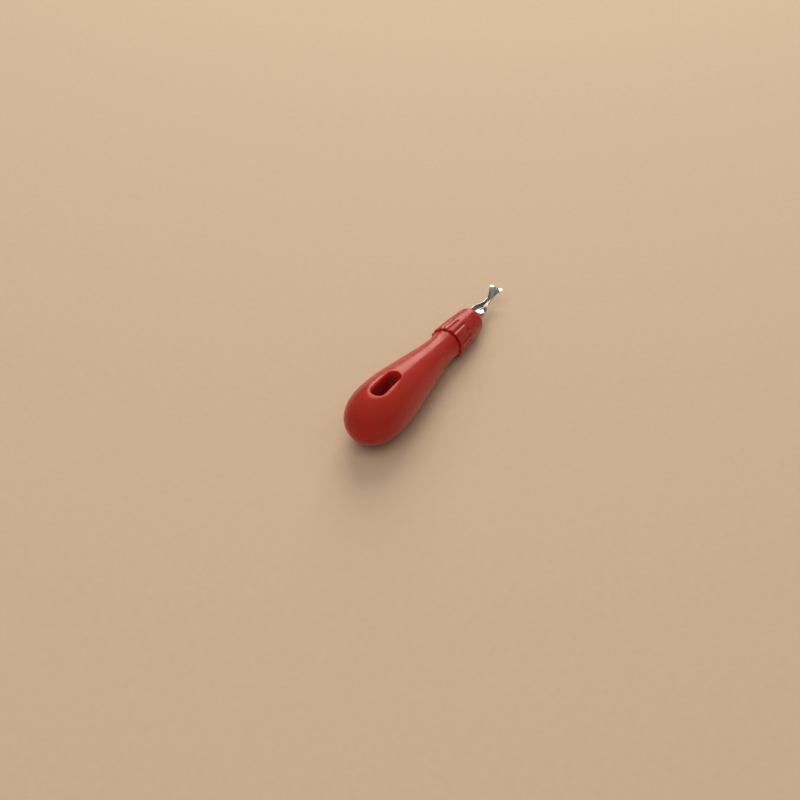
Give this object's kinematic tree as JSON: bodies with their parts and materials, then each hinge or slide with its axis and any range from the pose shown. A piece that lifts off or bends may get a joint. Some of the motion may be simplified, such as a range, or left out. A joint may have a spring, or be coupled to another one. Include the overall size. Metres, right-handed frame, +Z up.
{
  "type": "lino cutter",
  "caption": "Pear-shaped plastic hand tool with a hang slot, a fluted screw collar and a clamped, exchangeable steel gouge nib for cutting lino.",
  "frame": {"origin": "on the bench surface, under the middle of the tool's bounding box", "axes": "+Z up from the bench, +X towards the cutting tip, Y across the tool; XZ is its plane of symmetry"},
  "size_m": [0.1216, 0.0262, 0.026],
  "materials": {
    "handle_plastic": "moulded, glossy red",
    "collar_plastic": "moulded, glossy red",
    "turned_brass": "turned and threaded",
    "collet_brass": "turned and slit",
    "pin_steel": "drawn rod",
    "nib_steel": "pressed, hardened and polished"
  },
  "bodies": {
    "handle": {"handle": "handle_plastic", "chuck_body": "turned_brass", "core_pin": "pin_steel"},
    "collet": {"collet": "collet_brass"},
    "collar": {"collar": "collar_plastic"},
    "cutter": {"cutter": "nib_steel"}
  },
  "joints": [
    {"name": "collet_travel", "type": "slide", "parent": "handle", "child": "collet", "axis": [0.9963, 0, -0.086], "range_m": [0, 0.003]},
    {"name": "collar_turn", "type": "hinge", "parent": "collet", "child": "collar", "pos_m": [0.02691, 0, 0.00727], "axis": [0.9963, 0, -0.086], "range_deg": [0, 550]},
    {"name": "cutter_slide", "type": "slide", "parent": "handle", "child": "cutter", "axis": [0.9963, 0, -0.086], "range_m": [0, 0.022]}
  ],
  "couplings": [
    {"joint": "collar_turn", "follows": "collet_travel", "rad_per_m": 3141.6}
  ]
}
